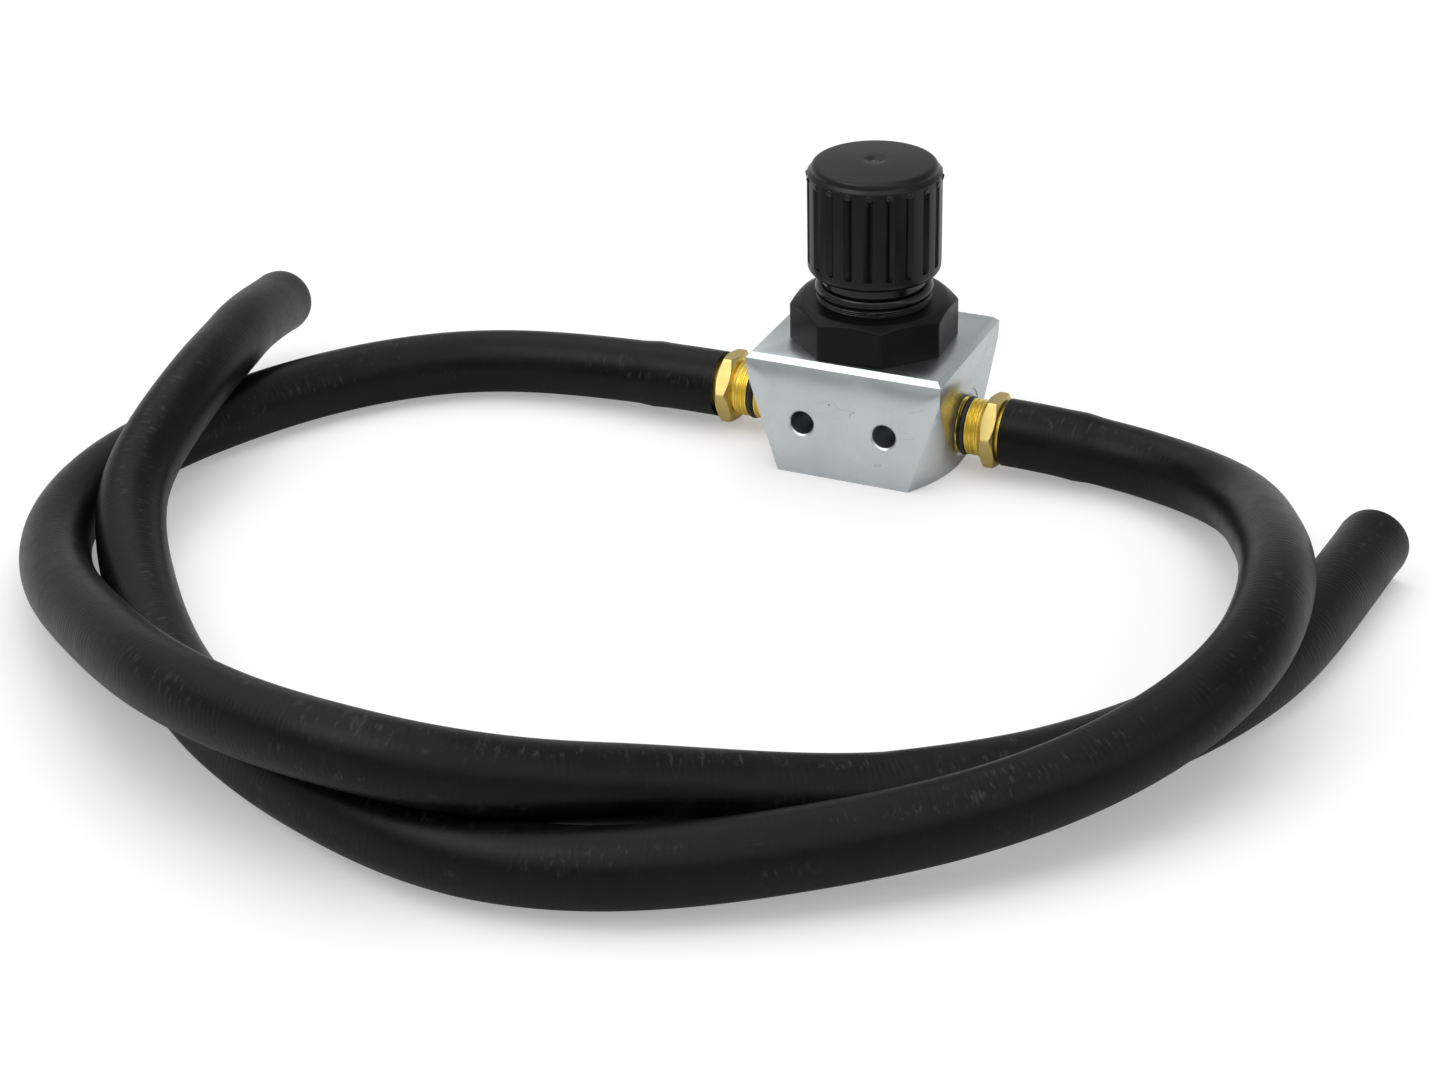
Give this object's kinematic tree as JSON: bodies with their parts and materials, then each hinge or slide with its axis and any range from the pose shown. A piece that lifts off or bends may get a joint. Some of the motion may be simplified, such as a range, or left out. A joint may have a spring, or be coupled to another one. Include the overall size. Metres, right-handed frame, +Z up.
{
  "type": "flow control valve",
  "caption": "Flow control valve with a plated block, a screw-driven plunger, a ribbed push-to-lock knob, brass hose fittings and two rubber hoses.",
  "frame": {"origin": "centre of the block's base face", "axes": "+X along the ports towards the right-hand fitting, +Y towards the back, +Z up along the knob's axis"},
  "size_m": [0.4646, 0.3501, 0.1134],
  "materials": {
    "plated_block": "zinc-plated steel, semi-gloss, lightly scratched",
    "collar_plastic": "glossy black plastic",
    "nut_plastic": "black plastic, satin",
    "stem_steel": "turned steel",
    "brass": "machined brass",
    "knob_plastic": "moulded black plastic, satin",
    "seal_rubber": "smooth black rubber",
    "hose_rubber": "black wrapped rubber, matt"
  },
  "bodies": {
    "block_assembly": {"valve_body": "plated_block", "bonnet": "collar_plastic", "octagon_nut": "nut_plastic", "bonnet_o_ring": "seal_rubber", "thrust_washer_upper": "brass", "thrust_washer_lower": "brass", "stem_retainer": "brass", "key_pin": "stem_steel", "left_fitting": "brass", "right_fitting": "brass", "left_seal_ring": "seal_rubber", "right_seal_ring": "seal_rubber", "left_hose": "hose_rubber", "right_hose": "hose_rubber"},
    "stem_assembly": {"stem": "stem_steel", "stem_o_ring": "seal_rubber", "detent_ring": "seal_rubber"},
    "knob_assembly": {"knob": "knob_plastic"},
    "plunger_assembly": {"plunger": "stem_steel", "plunger_o_ring_upper": "seal_rubber", "plunger_o_ring_lower": "seal_rubber"}
  },
  "joints": [
    {"name": "knob_turn", "type": "hinge", "parent": "block_assembly", "child": "stem_assembly", "pos_m": [0, 0, 0.06], "axis": [0, 0, 1], "range_deg": [-1080, 960]},
    {"name": "knob_lock", "type": "slide", "parent": "stem_assembly", "child": "knob_assembly", "axis": [0, 0, 1], "range_m": [-0.0025, 0]},
    {"name": "plunger_travel", "type": "slide", "parent": "block_assembly", "child": "plunger_assembly", "axis": [0, 0, 1], "range_m": [-0.00451, 0.00401]}
  ],
  "couplings": [
    {"joint": "plunger_travel", "follows": "knob_turn", "m_per_rad": 0.00023873}
  ]
}
